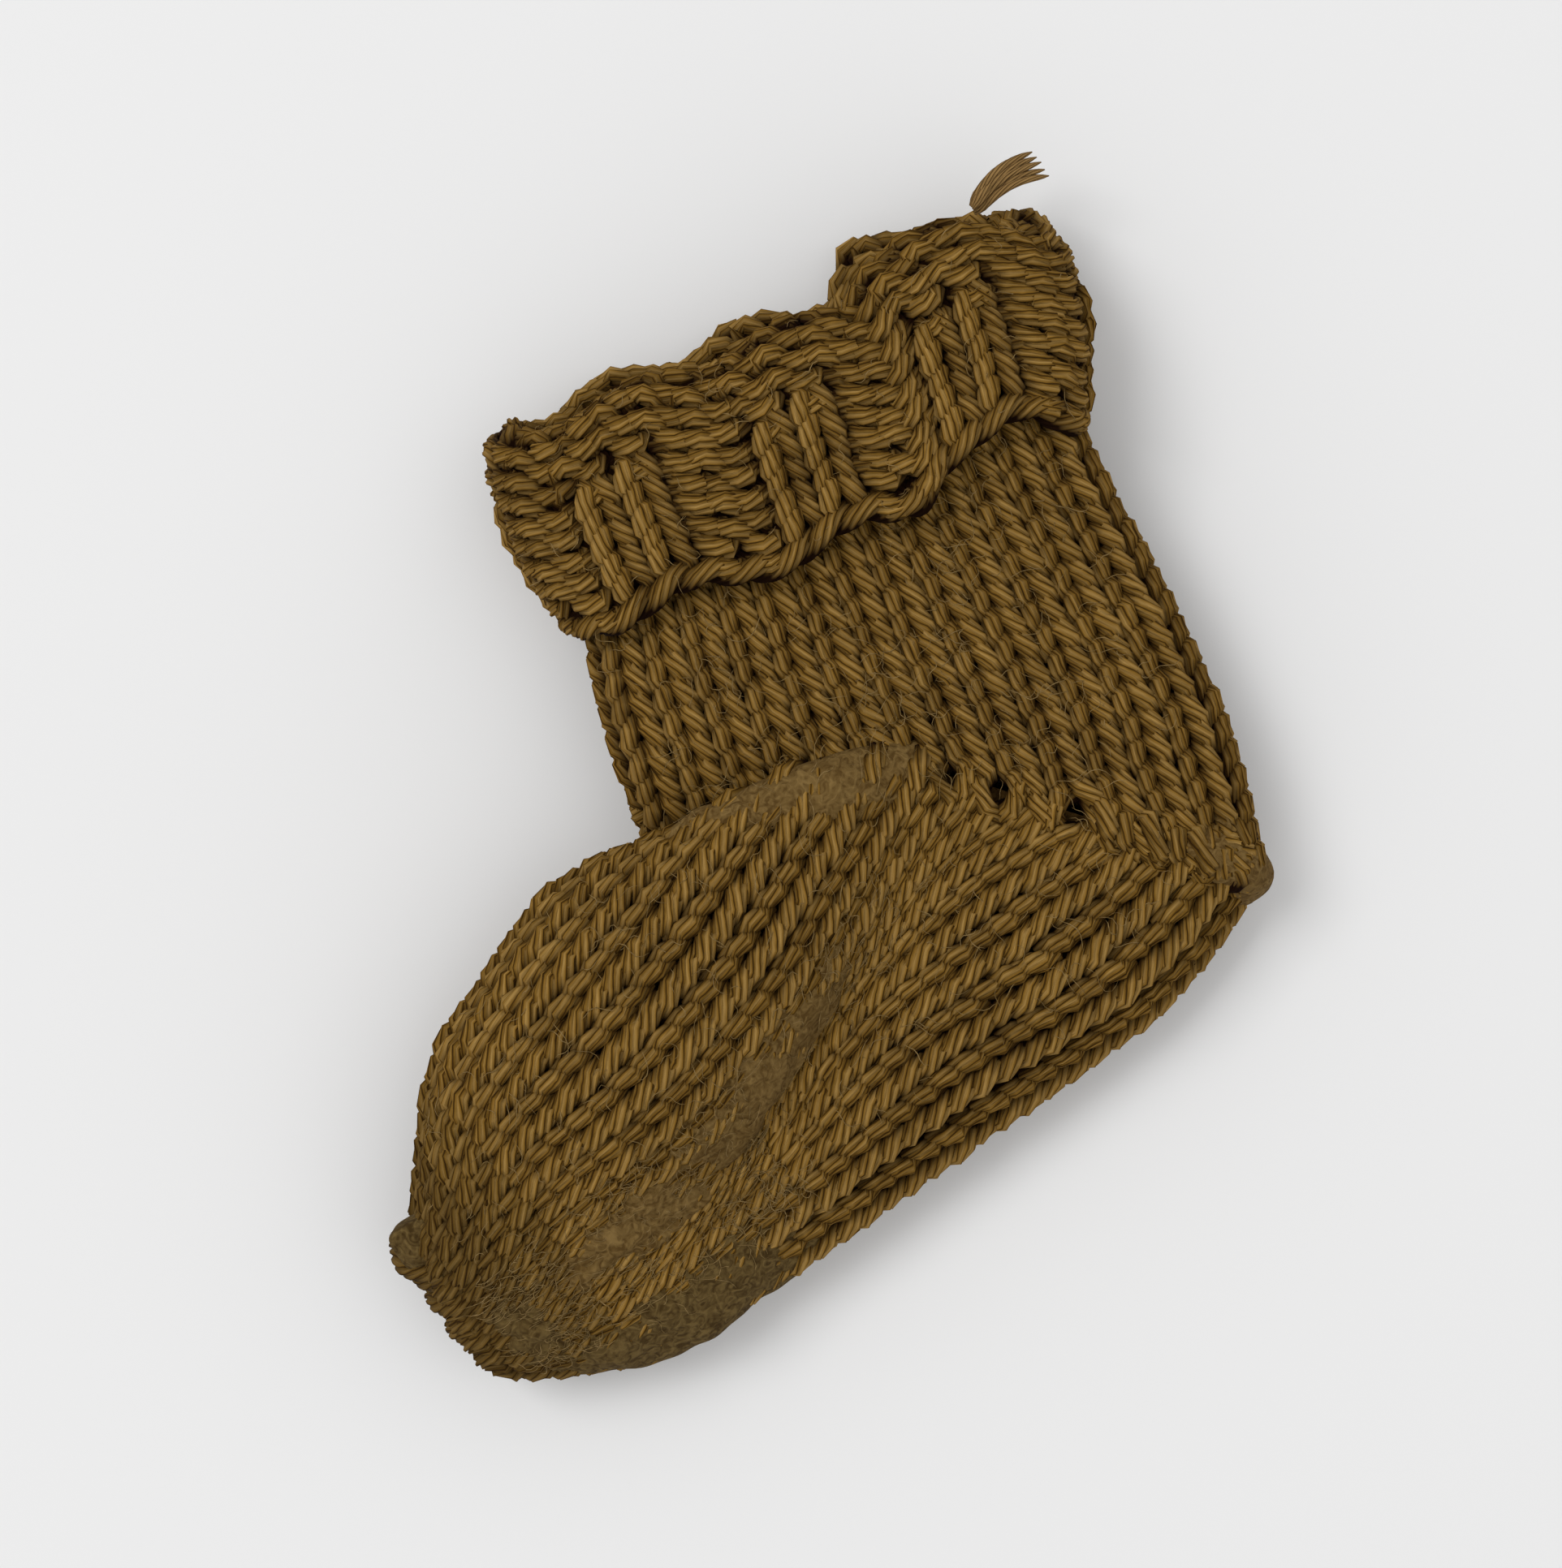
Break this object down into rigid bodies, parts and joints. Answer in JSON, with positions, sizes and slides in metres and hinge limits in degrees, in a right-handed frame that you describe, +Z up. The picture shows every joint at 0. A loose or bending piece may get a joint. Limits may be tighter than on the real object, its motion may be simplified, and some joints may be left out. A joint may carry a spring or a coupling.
{
  "type": "baby bootie",
  "caption": "Hand-knitted baby bootie lying on its side, with a plain knit foot and leg, a short-row heel and a turned-down ribbed cuff.",
  "frame": {"origin": "bottom centre of the whole bootie as it lies on its side", "axes": "+Z up out of the surface it lies on; the sole runs along X with the toe at -X and the heel at +X; +Y from the sole towards the cuff"},
  "size_m": [0.1222, 0.0918, 0.026],
  "materials": {
    "stockinette": "plied cotton yarn in plain knit, matt, slightly fuzzy",
    "cuff_rib": "plied cotton yarn in two-by-two rib, matt",
    "frayed_yarn": "loose cut plies of cotton yarn, matt"
  },
  "bodies": {
    "foot": {"ankle": "stockinette", "heel": "stockinette", "sole": "stockinette", "instep": "stockinette", "toe_cap": "stockinette", "toe_graft": "stockinette"},
    "leg": {"leg_tube": "stockinette", "cuff_fold": "cuff_rib", "cuff_band": "cuff_rib", "bind_off_edge": "cuff_rib", "yarn_tail": "frayed_yarn"}
  },
  "joints": [
    {"name": "ankle_flex", "type": "hinge", "parent": "foot", "child": "leg", "pos_m": [0.01485, -0.00518, 0.011], "axis": [0, 0, 1], "range_deg": [-15, 20]}
  ]
}
